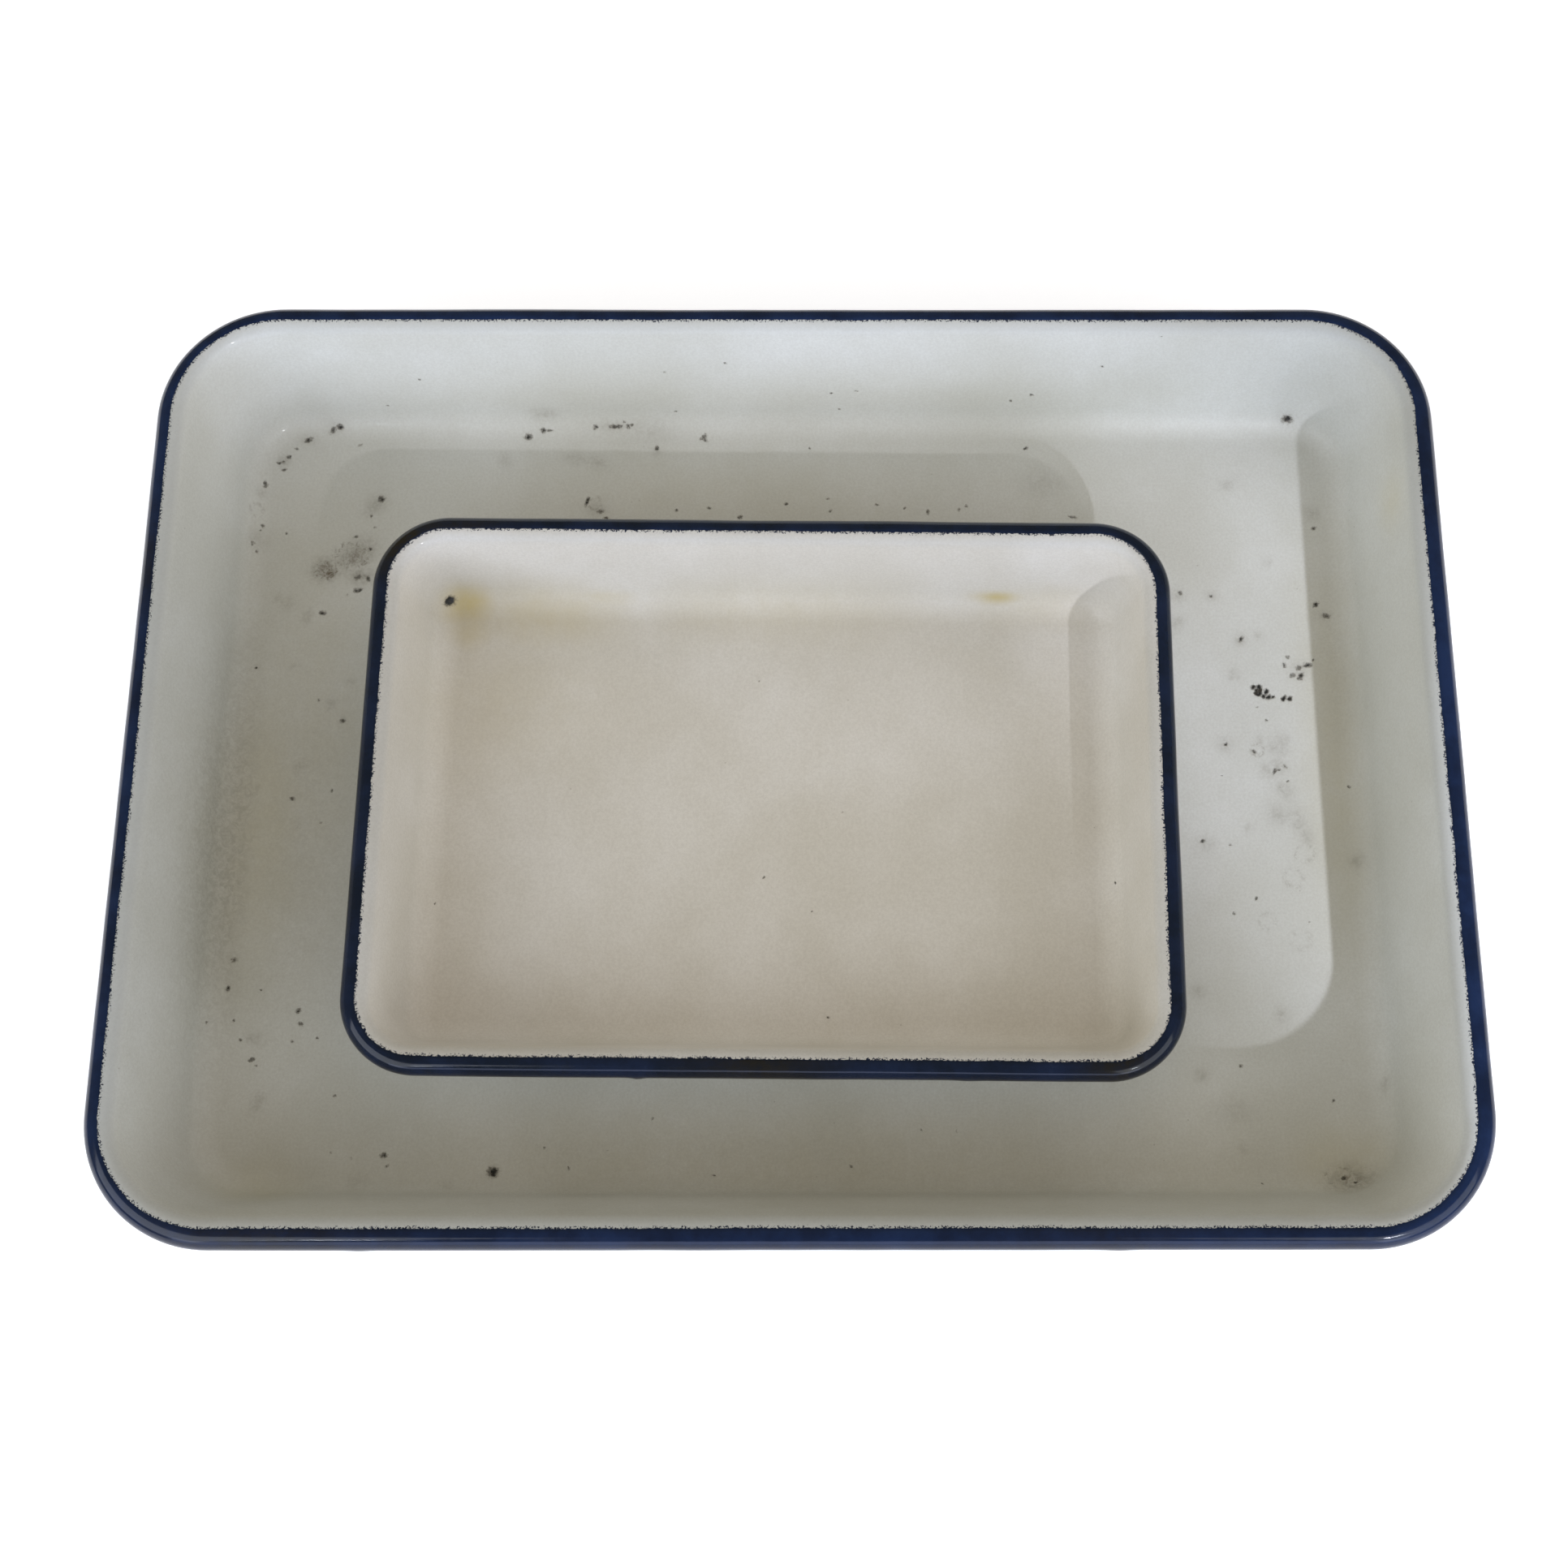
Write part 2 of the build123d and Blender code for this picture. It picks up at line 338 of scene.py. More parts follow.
    rings = (
        # x, y, across, wide, strength
        (-178, 95, 5, 1, 0.45), (-154, 74, 7, 1.2, 1.2), (-146, 79, 10, 1.2, 0.9), (-67, 98, 5.5, 0.9, 0.7),
        (164, -123, 7, 1.4, 0.8), (147, 12, 4.5, 1, 0.6), (156, -30, 7, 1, 0.35), (147, -44, 6, 1, 0.3),
        (157, -50, 7, 1, 0.3), (160, -22, 6, 1.2, 0.4),
    )
    tints = (
        # x, y, across, wide, strength
        (188, 85, 18, 0.4, 0.35), (-160, -128, 25, 1.3, 0.3), (165, -118, 22, 1.5, 0.35),
        # The broad marks from here to the end of the list yellow the left floor, the front floor, the right
        # band and the floor behind the small tray, where the floor lies in shade.
        (-168, -10, 90, 0.35, 0.34), (-150, 20, 150, 0.35, 0.22), (0, -118, 46, 6, 0.24),
        (172, 10, 130, 0.16, 0.34), (-30, 100, 34, 4, 0.12),
    )
    strewn = (
        # how many, from, to, spread, sizes, kind
        (15, (147, 32), (157, 29.5), 0.75, (0.9, 1.7), deep_chip),
        (5, (158, 42), (162, 37), 1.6, (0.9, 1.5), faint_chip),
        (6, (148, 24), (158, -10), 3.0, (0.5, 0.9), faint_chip),
        (9, (150, 24), (156, -12), 4.0, (3, 6), smudge),
        (8, (-70, 124.5), (-55, 125.5), 0.4, (0.8, 1.3), faint_chip),
        (7, (-178, 98), (-166, 120), 1.5, (0.6, 1.0), faint_chip),
        (5, (-179, 96), (-177, 75), 1.2, (0.5, 1.0), faint_chip),
        (9, (-60, 96), (60, 96), 3.0, (0.6, 1.0), faint_chip),
        (12, (-150, 110), (-150, -110), 9.0, (0.5, 0.9), faint_chip),
        (9, (150, 110), (150, -110), 12.0, (0.4, 0.8), faint_chip),
        (12, (-150, -115), (150, -115), 7.0, (0.5, 0.9), faint_chip),
        (11, (-150, 128), (150, 128), 3.5, (0.5, 0.9), faint_chip),
        (12, (150, 100), (150, -100), 14.0, (2, 5), smudge),
        (12, (-160, 100), (-155, -100), 9.0, (2, 5), smudge),
    )
    marks = [chip(*row) for row in chips] + [stain(*row) for row in stains]
    marks += [ring(*row) for row in rings] + [tint(*row) for row in tints]
    for row in strewn:
        marks += scattered(draw, *row)
    return marks


def small_marks():
    """The small tray's wear: one chip in the back left corner, and yellow from old solutions."""
    draw = random.Random(5)
    back_edge = [
        chip(-105, 70.5, 3.0, 1.15, 30, 1.9), chip(-104, 71.2, 1.2, 1.2, 0, 1.2),
        tint(-99, 70, 14, 1.2, 1.15), tint(-98, 62, 14, 1.1, 0.6), tint(-75, 67, 22, 2.2, 0.5),
        tint(-55, 72, 7, 3.0, 0.4), tint(72, 73, 5, 2.8, 1.1), tint(85, 72, 16, 2.5, 0.25),
        tint(0, 70, 24, 3.5, 0.25), tint(-85, 40, 60, 1.0, 0.2),
    ]
    specks = scattered(draw, 9, (-90, 0), (90, 0), 36.0, (0.35, 0.6))
    return back_edge + specks


def rim_marks(tray):
    """Where the navy is stained olive brown, or chipped; these lie on the top of the bead."""
    if tray is SMALL:
        side = -(tray.half_x + tray.bead_n) / MM
        back = (tray.half_y + tray.bead_n) / MM
        front = -back
        marks = [
            stain(side + 6, back - 6, 26, 1, 1.0), stain(side + 22, back, 14, 1.6, 0.6),
            stain(-1, front, 22, 1.6, 0.75), stain(103, front, 15, 1.2, 0.9),
            chip(36.5, front + 2.5, 1.3, 1.5, 0, 0.9), chip(-8, front + 2.8, 0.8),
            chip(-70, back - 2, 0.9, 2),
        ]
    else:
        marks = [stain(-150, -142, 30, 2, 0.5), stain(-196, 60, 26, 0.5, 0.4), stain(90, -142, 26, 2, 0.3)]
    for mark in marks:
        mark["point"] = np.array([mark["x"], mark["y"], tray.bead_z + tray.curl])
    return marks


def outside_marks(seed, tray):
    """Knocks on the outside of the walls and on the bend under them."""
    draw = random.Random(seed)
    marks = []
    reach_x = (tray.half_x + tray.crease_n) / MM
    reach_y = (tray.half_y + tray.crease_n) / MM
    for y in (-reach_y, reach_y):
        marks += scattered(draw, 9, (-0.9 * reach_x, y), (0.9 * reach_x, y), 1.5, (0.7, 2.4))
    for x in (-reach_x, reach_x):
        marks += scattered(draw, 6, (x, -0.9 * reach_y), (x, 0.9 * reach_y), 1.5, (0.7, 2.4))
    return marks


def mark_distance(points, mark):
    """How far each point is from the mark's middle, in parts of its size."""
    away = points - mark["point"]
    turn = mark["turn"]
    along = away[:, 0] * math.cos(turn) + away[:, 1] * math.sin(turn)
    across = away[:, 1] * math.cos(turn) - away[:, 0] * math.sin(turn)
    return np.sqrt((along / mark["wide"]) ** 2 + across ** 2 + away[:, 2] ** 2) / mark["size"]


def mark_strength(mark, distance):
    """A chip is 0.5 at its edge and its depth in its middle; stains, rings and tints fade outward."""
    if mark["kind"] == "chip":
        inner = np.clip(1 - 2 * distance, 0, 1)
        outer = np.clip(2 - 2 * distance, 0, 1)
        return 0.5 * outer + (mark["strength"] - 0.5) * inner
    if mark["kind"] == "ring":
        return mark["strength"] * np.exp(-((distance - RING_RADIUS) / RING_WIDTH) ** 2)
    return mark["strength"] * np.exp(-4 * distance ** 2)


def mark_field(points, marks, kind):
    """At each point, the strongest mark of that kind."""
    field = np.zeros(len(points))
    for mark in marks:
        if mark["kind"] == kind:
            field = np.maximum(field, mark_strength(mark, mark_distance(points, mark)))
    return field


# ---------------------------------------------------------------- coats

def rings_mesh(tray, rings, skin_rings, floors, closed):
    """A bmesh of rings round the tray, joined one to the next, with the floors that close its ends.

    A ring is (n, z), each one number or one for every station. A floor is (z, fine): a grid as fine as
    the stations, or a fan. Vertices of the rings in skin_rings, and of a fine floor, have skin 1.
    """
    core, out, across, along = tray.plan()
    count = len(core)
    mesh = bmesh.new()
    skin = mesh.verts.layers.float.new("skin")
    rows = []
    for index, (n, z) in enumerate(rings):
        n = np.broadcast_to(n, count)
        z = np.broadcast_to(z, count)
        flat = core + n[:, None] * out
        row = [mesh.verts.new((flat[i, 0], flat[i, 1], z[i])) for i in range(count)]
        for vertex in row:
            vertex[skin] = float(index in skin_rings)
        rows.append(row)
    pairs = list(zip(rows, rows[1:]))
    if closed:
        pairs.append((rows[-1], rows[0]))
    for lower, upper in pairs:
        for i in range(count):
            following = (i + 1) % count
            mesh.faces.new((lower[i], lower[following], upper[following], upper[i]))
    for z, fine in floors:
        if fine:
            floor_grid(mesh, tray, z, across, along, skin)
        else:
            floor_fan(mesh, core, z)
    bmesh.ops.remove_doubles(mesh, verts=mesh.verts, dist=MERGE)
    bmesh.ops.recalc_face_normals(mesh, faces=mesh.faces)
    return mesh, skin


def floor_grid(mesh, tray, z, across, along, skin):
    xs = np.linspace(-tray.half_x, tray.half_x, across + 1)
    ys = np.linspace(-tray.half_y, tray.half_y, along + 1)
    grid = [[mesh.verts.new((x, y, z)) for y in ys] for x in xs]
    for row in grid:
        for vertex in row:
            vertex[skin] = 1.0
    for i in range(across):
        for j in range(along):
            mesh.faces.new((grid[i][j], grid[i + 1][j], grid[i + 1][j + 1], grid[i][j + 1]))


def floor_fan(mesh, core, z):
    middle = mesh.verts.new((0, 0, z))
    edge = [mesh.verts.new((x, y, z)) for x, y in core]
    for i, vertex in enumerate(edge):
        following = edge[(i + 1) % len(edge)]
        if (vertex.co - following.co).length > MERGE:
            mesh.faces.new((middle, vertex, following))


def cut_under_chips(mesh, skin, marks, reach):
    """Divides the skin's cells that lie under chips and rings, so that these have shape."""
    fine = [mark for mark in marks if mark["kind"] in ("chip", "ring")]
    if not fine:
        return
    faces = list(mesh.faces)
    centres = np.array([face.calc_center_median() for face in faces])
    on_skin = np.array([min(vertex[skin] for vertex in face.verts) > 0.5 for face in faces])
    near = np.zeros(len(faces), bool)
    for mark in fine:
        near |= mark_distance(centres, mark) < CHIP_REACH + reach / mark["size"]
    edges = {edge for face, chosen in zip(faces, near & on_skin) if chosen for edge in face.edges}
    bmesh.ops.subdivide_edges(mesh, edges=list(edges), cuts=CHIP_CUTS, use_grid_fill=True)


def mesh_data(name, mesh):
    data = bpy.data.meshes.new(name)
    mesh.to_mesh(data)
    mesh.free()
    return data


def put_in_scene(name, data):
    placed = bpy.data.objects.new(name, data)
    bpy.context.scene.collection.objects.link(placed)
    return placed


MARK_KINDS = ("chip", "stain", "ring", "tint")


def finished(tray, mesh, name, marks, raise_skin, by_line=None):
    """Moves the skin along its normals by raise_skin, and makes the object with its mark attributes.

    by_line gives how near each point is to the navy line, from 1 at the line to 0.
    """
    skin = mesh.verts.layers.float["skin"]
    mesh.normal_update()
    mesh.verts.ensure_lookup_table()
    points = np.array([vertex.co for vertex in mesh.verts])
    normals = np.array([vertex.normal for vertex in mesh.verts])
    share = np.array([vertex[skin] for vertex in mesh.verts])
    fields = {kind: mark_field(points, marks, kind) * share for kind in MARK_KINDS}
    fields["by_line"] = by_line(points) * share if by_line else 0 * share
    lift = raise_skin(points) - PIT_DEPTH * smoothstep(*PIT_EDGE, fields["chip"])
    moved = points + normals * (lift * (share > 0.5))[:, None]
    for vertex, place in zip(mesh.verts, moved):
        vertex.co = place
    data = mesh_data(name, mesh)
    for kind, field in fields.items():
        data.attributes.new(kind, "FLOAT", "POINT").data.foreach_set("value", field.astype(np.float32))
    data.transform(tray.place)
    data.shade_smooth()
    data.set_sharp_from_angle(angle=SHARP_ANGLE)
    return put_in_scene(name, data)


def placed_marks(tray, marks):
    """The marks, each with the point of the tray's inner face where its middle lies."""
    for mark in marks:
        mark["point"] = tray.inside_point(mark["x"], mark["y"])
    return marks


def line_angle(tray, core, out, seed):
    """Where the navy starts, in radians round the bead, beyond the points core in the directions out."""
    rim = np.column_stack([core + tray.bead_n * out, np.zeros(len(core))])
    wobble = 0.6 * wander(rim, 14 * MM, seed) + 0.4 * wander(rim, 4 * MM, seed + 1)
    degrees = NAVY_START + LINE_WOBBLE * wobble + tray.line_right * out[:, 0]
    return np.radians(degrees)


def by_navy_line(tray, seed):
    """A function that gives how near points of the inner coat are to the navy line."""
    def near(points):
        flat = points[:, :2]
        core = np.clip(flat, (-tray.half_x, -tray.half_y), (tray.half_x, tray.half_y))
        n = np.linalg.norm(flat - core, axis=1)
        value = np.zeros(len(points))
        on_bead = np.flatnonzero((points[:, 2] > tray.bead_z) & (n > 0))
        out = (flat - core)[on_bead] / n[on_bead][:, None]
        line = line_angle(tray, core[on_bead], out, seed)
        angle = np.arctan2(points[on_bead, 2] - tray.bead_z, n[on_bead] - tray.bead_n)
        value[on_bead] = np.clip(1 - (angle - line) * tray.curl / LINE_REACH, 0, 1)
        return value
    return near


def inner_enamel(tray, marks, under, seed):
    """The white coat inside: floor, walls, and over the bead as far as the navy line.

    It pools a little in the bend and is thinner where another tray stands on it.
    """
    line = line_angle(tray, *tray.plan()[:2], seed)
    n, z = tray.floor_to_wall(COAT, tray.step)
    rings = list(zip(n, z))
    for share in np.linspace(0, 1, WHITE_STEPS + 1)[1:]:
        rings.append(tray.on_curl(COAT, tray.curl_start + share * (line - tray.curl_start)))
    skin_rings = range(len(rings))
    for share in np.linspace(1, 0, HIDDEN_WHITE_STEPS + 1):
        rings.append(tray.on_curl(GROUND, tray.curl_start + share * (line - tray.curl_start)))
    n, z = tray.floor_to_wall(GROUND, HIDDEN_STEP)
    rings += list(zip(n, z))[-2::-1]
    floors = [(tray.floor + COAT, True), (tray.floor + GROUND, False)]
    mesh, skin = rings_mesh(tray, rings, skin_rings, floors, closed=False)
    cut_under_chips(mesh, skin, marks, tray.step)

    def raise_skin(points):
        past = np.abs(points[:, :2]) - (tray.half_x, tray.half_y)
        out = np.linalg.norm(np.maximum(past, 0), axis=1)
        in_bend = np.exp(-((out - tray.crease_n) / POOL_REACH) ** 2)
        waves = 0.7 * wander(points, 34 * MM, seed + 2) + 0.3 * wander(points, 9 * MM, seed + 3)
        thicker = POOLED * in_bend + WHITE_SWELL * (waves - 0.3)
        at_line = smoothstep(tray.bead_z + 0.2 * tray.curl, tray.bead_z + tray.curl, points[:, 2])
        return np.where(under(points), -PRESSED, thicker * (1 - at_line))

    piece = finished(tray, mesh, tray.name + "_white_inside", marks, raise_skin, by_navy_line(tray, seed))
    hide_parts(tray.name + "_inner_enamel")
    return piece


def outer_enamel(tray, marks, seed):
    """The white coat underneath and up the outside of the walls, flat where it rests."""
    low = -tray.sheet - COAT
    high = -tray.sheet - GROUND
    drop = (tray.curl + COAT) * math.sin(tray.opening) + OUTER_COAT_DROP
    n, z = tray.floor_to_wall(low, tray.step, drop)
    rings = list(zip(n, z))
    skin_rings = range(len(rings))
    n, z = tray.floor_to_wall(high, HIDDEN_STEP, drop)
    rings += list(zip(n, z))[::-1]
    floors = [(tray.floor + low, True), (tray.floor + high, False)]
    mesh, skin = rings_mesh(tray, rings, skin_rings, floors, closed=False)
    cut_under_chips(mesh, skin, marks, tray.step)

    def raise_skin(points):
        waves = 0.7 * wander(points, 30 * MM, seed) + 0.3 * wander(points, 8 * MM, seed + 1)
        return WHITE_SWELL * (waves + 0.6) * smoothstep(1.5 * MM, 5 * MM, points[:, 2])

    piece = finished(tray, mesh, tray.name + "_white_outside", marks, raise_skin)
    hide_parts(tray.name + "_outer_enamel")
    return piece


def rim_enamel(tray, marks, drips, seed):
    """The navy coat round the bead, uneven in thickness, with a few drips on its outer side."""
    line = line_angle(tray, *tray.plan()[:2], seed)
    rings = []
    for share in np.linspace(0, 1, NAVY_STEPS + 1):
        rings.append(tray.on_curl(COAT, line + share * (tray.curl_end - line)))
    skin_rings = range(1, len(rings))
    for share in np.linspace(1, 0, HIDDEN_NAVY_STEPS + 1):
        rings.append(tray.on_curl(GROUND, line + share * (tray.curl_end - line)))
    mesh, skin = rings_mesh(tray, rings, skin_rings, [], closed=True)
    cut_under_chips(mesh, skin, marks, tray.step)

    def raise_skin(points):
        long_waves = 0.5 + 0.5 * wander(points, 45 * MM, seed + 2)
        short_waves = 0.5 + 0.5 * wander(points, 15 * MM, seed + 3)
        lift = NAVY_LIP + NAVY_SWELL * (0.7 * long_waves + 0.3 * short_waves)
        for drip in drips:
            away = np.linalg.norm((points - drip["point"]) / drip["reach"], axis=1)
            lift = lift + drip["bulge"] * np.exp(-2 * away ** 2)
        return lift

    piece = finished(tray, mesh, tray.name + "_navy_rim", marks, raise_skin)
    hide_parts(tray.name + "_rim_enamel")
    return piece


def make_drip(tray, x, side, bulge, reach):
    """A run of navy that gathered on the outer side of the front (-1) or back (1) rim."""
    n, z = tray.on_curl(COAT, math.radians(DRIP_ANGLE))
    point = np.array([x * MM, side * (tray.half_y + n), z])
    return {"point": point, "bulge": bulge * MM, "reach": np.array(reach) * MM}


DRIPS = {
    "large": [make_drip(LARGE, 92, -1, 0.35, (5, 4, 3)), make_drip(LARGE, -120, -1, 0.25, (4, 4, 3))],
    "small": [make_drip(SMALL, -36, -1, 0.45, (2.5, 3, 3)), make_drip(SMALL, 60, -1, 0.25, (5, 4, 3))],
}


# ---------------------------------------------------------------- materials

# Colours of the enamels, which run from pale to deep or from deep to blue
COOL_PALE = (0.640, 0.664, 0.650, 1)
COOL_DEEP = (0.566, 0.582, 0.548, 1)
COOL_STAIN = (0.165, 0.145, 0.110, 1)
COOL_TINT = (0.520, 0.470, 0.270, 1)
WARM_PALE = (0.735, 0.727, 0.698, 1)
WARM_DEEP = (0.643, 0.626, 0.573, 1)
WARM_STAIN = (0.170, 0.140, 0.100, 1)
WARM_TINT = (0.550, 0.470, 0.250, 1)
# The grey that the white turns towards the navy line
LINE_GREY = (0.36, 0.39, 0.41, 1)
NAVY_DEEP = (0.004, 0.010, 0.032, 1)
NAVY_BLUE = (0.008, 0.020, 0.064, 1)
DARK_NAVY_DEEP = (0.0035, 0.008, 0.020, 1)
DARK_NAVY_BLUE = (0.007, 0.015, 0.043, 1)
NAVY_WORN = (0.025, 0.035, 0.070, 1)
NAVY_GRIME = (0.016, 0.013, 0.007, 1)

# The table, which glows a little so that it comes out as white as the photo's surroundings
TABLE_PALE = (0.90, 0.90, 0.90, 1)
TABLE_SHADE = (0.87, 0.87, 0.87, 1)
TABLE_TINT = (0.82, 0.86, 0.94, 1)
TABLE_GLOW = 0.60
TABLE_ROUGHNESS = 0.75

# Colours inside chips, of the speckled ground coat, and of the steel
CHIP_DARK = (0.016, 0.017, 0.016, 1)
CHIP_RUST = (0.060, 0.050, 0.038, 1)
SPECKLE = (0.05, 0.052, 0.060, 1)
PAN_STEEL = (0.34, 0.34, 0.36, 1)
WIRE_STEEL = (0.30, 0.30, 0.31, 1)

# Gloss: the mirror strength of a worn glaze, and how much of its glossy skin is left and how rough that is
WHITE_GLOSS = {"Specular IOR Level": 0.28, "Coat Weight": 0.15, "Coat Roughness": 0.07}
NAVY_GLOSS = {"Specular IOR Level": 0.30, "Coat Weight": 0.12, "Coat Roughness": 0.03}
COOL_WORN = 0.44               # roughness under the skin
WARM_WORN = 0.42
COOL_GREYING = 0.50               # how much the white turns grey by the navy line
WARM_GREYING = 0.34
CHIP_STEP = 0.12 * MM          # the edge of a chip, as bump

# Directions of the lines in the steel: noise is stretched where the number is small
ALONG_X = (0.1, 1, 1)
ROUND_WIRE = (0.3, 0.3, 1)


class Shader:
    """One material, and short ways to add nodes to it and join them."""

    def __init__(self, name):
        self.material = bpy.data.materials.new(name)
        self.material.use_nodes = True
        self.tree = self.material.node_tree
        self.tree.nodes.clear()
        self.surface = self.add("ShaderNodeBsdfPrincipled")
        output = self.add("ShaderNodeOutputMaterial")
        self.join(self.surface.outputs["BSDF"], output.inputs["Surface"])
        self.place = self.add("ShaderNodeTexCoord").outputs["Object"]

    def add(self, kind, **settings):
        node = self.tree.nodes.new(kind)
        for name, value in settings.items():
            setattr(node, name, value)
        return node

    def join(self, source, target):
        self.tree.links.new(source, target)

    def feed(self, target, value):
        if isinstance(value, bpy.types.NodeSocket):
            self.join(value, target)
        else:
            target.default_value = value

    def noise(self, size, detail=3.0, roughness=0.55, distortion=0.0, stretch=None):
        """Noise whose features are about that many metres across."""
        node = self.add("ShaderNodeTexNoise")
        place = self.place
        if stretch:
            mapping = self.add("ShaderNodeMapping")
            self.fill(mapping, {"Scale": stretch, "Vector": self.place})
            place = mapping.outputs["Vector"]
        self.fill(node, {"Vector": place, "Scale": 1 / size, "Detail": detail})
        self.fill(node, {"Roughness": roughness, "Distortion": distortion})
        return node.outputs["Fac"]

    def fill(self, node, values):
        for name, value in values.items():
            self.feed(node.inputs[name], value)

    def finish(self, values):
        """Fills the surface's inputs, and gives the material."""
        self.fill(self.surface, values)
        return self.material

    def attribute(self, name):
        return self.add("ShaderNodeAttribute", attribute_name=name).outputs["Fac"]

    def math(self, operation, first, second=0.0, clamp=False):
        node = self.add("ShaderNodeMath", operation=operation, use_clamp=clamp)
        self.feed(node.inputs[0], first)
        self.feed(node.inputs[1], second)
        return node.outputs[0]

    def spread(self, value, low, high, to_low=0.0, to_high=1.0):
        """Carries the range low..high onto to_low..to_high, with no overshoot."""
        node = self.add("ShaderNodeMapRange", interpolation_type="SMOOTHSTEP")
        for socket, number in zip(node.inputs[1:5], (low, high, to_low, to_high)):
            socket.default_value = number
        self.join(value, node.inputs[0])
        return node.outputs[0]

    def mix(self, share, first, second):
        node = self.add("ShaderNodeMix", data_type="RGBA")
        self.fill(node, {"Factor": share, "A": first, "B": second})
        return node.outputs["Result"]

    def bump(self, height, depth, strength=1.0, under=None):
        node = self.add("ShaderNodeBump")
        self.fill(node, {"Strength": strength, "Distance": depth, "Height": height})
        if under:
            self.join(under, node.inputs["Normal"])
        return node.outputs["Normal"]


def chip_masks(shader):
    """Where a coat is chipped, with a ragged edge; how bare it is there; and the bruise round the chip."""
    coarse = shader.spread(shader.noise(1.1 * MM, 3.0, 0.7), 0.3, 0.7, -0.16, 0.16)
    fine = shader.spread(shader.noise(0.4 * MM, 2.0, 0.6), 0.3, 0.7, -0.07, 0.07)
    depth = shader.attribute("chip")
    edge = shader.math("ADD", shader.math("ADD", depth, coarse), fine)
    chipped = shader.spread(edge, 0.45, 0.55)
    bare = shader.math("MULTIPLY", chipped, shader.spread(edge, 0.5, 0.85, 0.35, 1.0))
    round_chip = shader.spread(edge, 0.2, 0.5, 0.0, 0.45)
    bruise = shader.math("MULTIPLY", round_chip, shader.spread(depth, 0.02, 0.15))
    return chipped, bare, bruise


def white_enamel(name, pale, deep, stain_colour, tint_colour, worn, thin):
    """Fired white glaze: cloudy, with pinholes, dark where it is chipped, brown where it is stained, and
    darker under broad painted shade.

    Use has dulled it to a roughness of about worn, under what is left of its glossy skin. Towards the navy
    line it turns grey, by the share thin.
    """
    shader = Shader(name)
    clouds = shader.noise(55 * MM, 4.0)
    mottle = shader.noise(6 * MM, 5.0, 0.65)
    grain = shader.noise(0.8 * MM, 3.0, 0.7)
    colour = shader.mix(shader.spread(clouds, 0.3, 0.7), pale, deep)
    colour = shader.mix(shader.spread(mottle, 0.2, 0.8, 0.0, 0.3), colour, deep)
    colour = shader.mix(shader.spread(grain, 0.25, 0.75, 0.0, 0.15), colour, stain_colour)

    # Yellow from stains in the glaze, and the broad yellow laid on the large tray's floor where it lies in
    # shade.
    yellowing = shader.math("MULTIPLY", shader.attribute("tint"), shader.spread(mottle, 0.2, 0.7, 0.8, 1.1))
    colour = shader.mix(shader.math("MULTIPLY", yellowing, 0.85, clamp=True), colour, tint_colour)

    blotch = shader.noise(2.0 * MM, 6.0, 0.75, 0.8)
    patchy = shader.spread(blotch, 0.33, 0.66, 0.25, 1.0)
    # Brown from stains and rings, and the broad painted shade on the large tray's floor, which comes in
    # through the stain attribute.
    stain_and_shade = shader.math("MULTIPLY", shader.attribute("stain"), patchy)
    arcs = shader.math("MULTIPLY", shader.attribute("ring"), shader.spread(blotch, 0.44, 0.62))
    stain_and_shade = shader.math("MULTIPLY", shader.math("MAXIMUM", stain_and_shade, arcs), 0.85, clamp=True)
    colour = shader.mix(stain_and_shade, colour, stain_colour)

    pores = shader.add("ShaderNodeTexVoronoi", feature="F1")
    shader.fill(pores, {"Scale": 1 / (6 * MM), "Vector": shader.place})
    pinhole = shader.spread(pores.outputs["Distance"], 0.02, 0.06, 0.4, 0.0)
    rare = shader.spread(shader.noise(30 * MM, 1.0), 0.54, 0.64)
    colour = shader.mix(shader.math("MULTIPLY", pinhole, rare), colour, stain_colour)

    chipped, bare, bruise = chip_masks(shader)
    colour = shader.mix(bruise, colour, stain_colour)
    inside = shader.mix(shader.spread(blotch, 0.45, 0.7), CHIP_DARK, CHIP_RUST)
    colour = shader.mix(bare, colour, inside)

    by_line = shader.attribute("by_line")
    # The white turns grey towards the navy line, by the share thin.
    colour = shader.mix(shader.spread(by_line, 0.0, 0.65, 0.0, thin), colour, LINE_GREY)
    specks = shader.spread(shader.noise(0.55 * MM, 3.0, 0.7), 0.25, 0.75, -0.15, 0.15)
    navy = shader.spread(shader.math("ADD", by_line, specks), 0.95, 0.98)
    colour = shader.mix(navy, colour, NAVY_DEEP)

    smear = shader.noise(18 * MM, 4.0, 0.6)
    rough = shader.spread(smear, 0.3, 0.75, worn, worn + 0.12)
    rough = shader.math("ADD", rough, shader.math("MULTIPLY", bare, 0.3), clamp=True)
    rough = shader.math("ADD", rough, shader.math("MULTIPLY", stain_and_shade, 0.3), clamp=True)

    peel = shader.bump(shader.noise(2.2 * MM, 2.0), 0.006 * MM, 0.6)
    waves = shader.bump(shader.noise(14 * MM, 2.0), 0.03 * MM, 0.4, peel)
    normal = shader.bump(shader.math("SUBTRACT", 1.0, chipped), CHIP_STEP, 0.8, waves)
    return shader.finish({"Base Color": colour, "Roughness": rough, "Normal": normal, **WHITE_GLOSS})


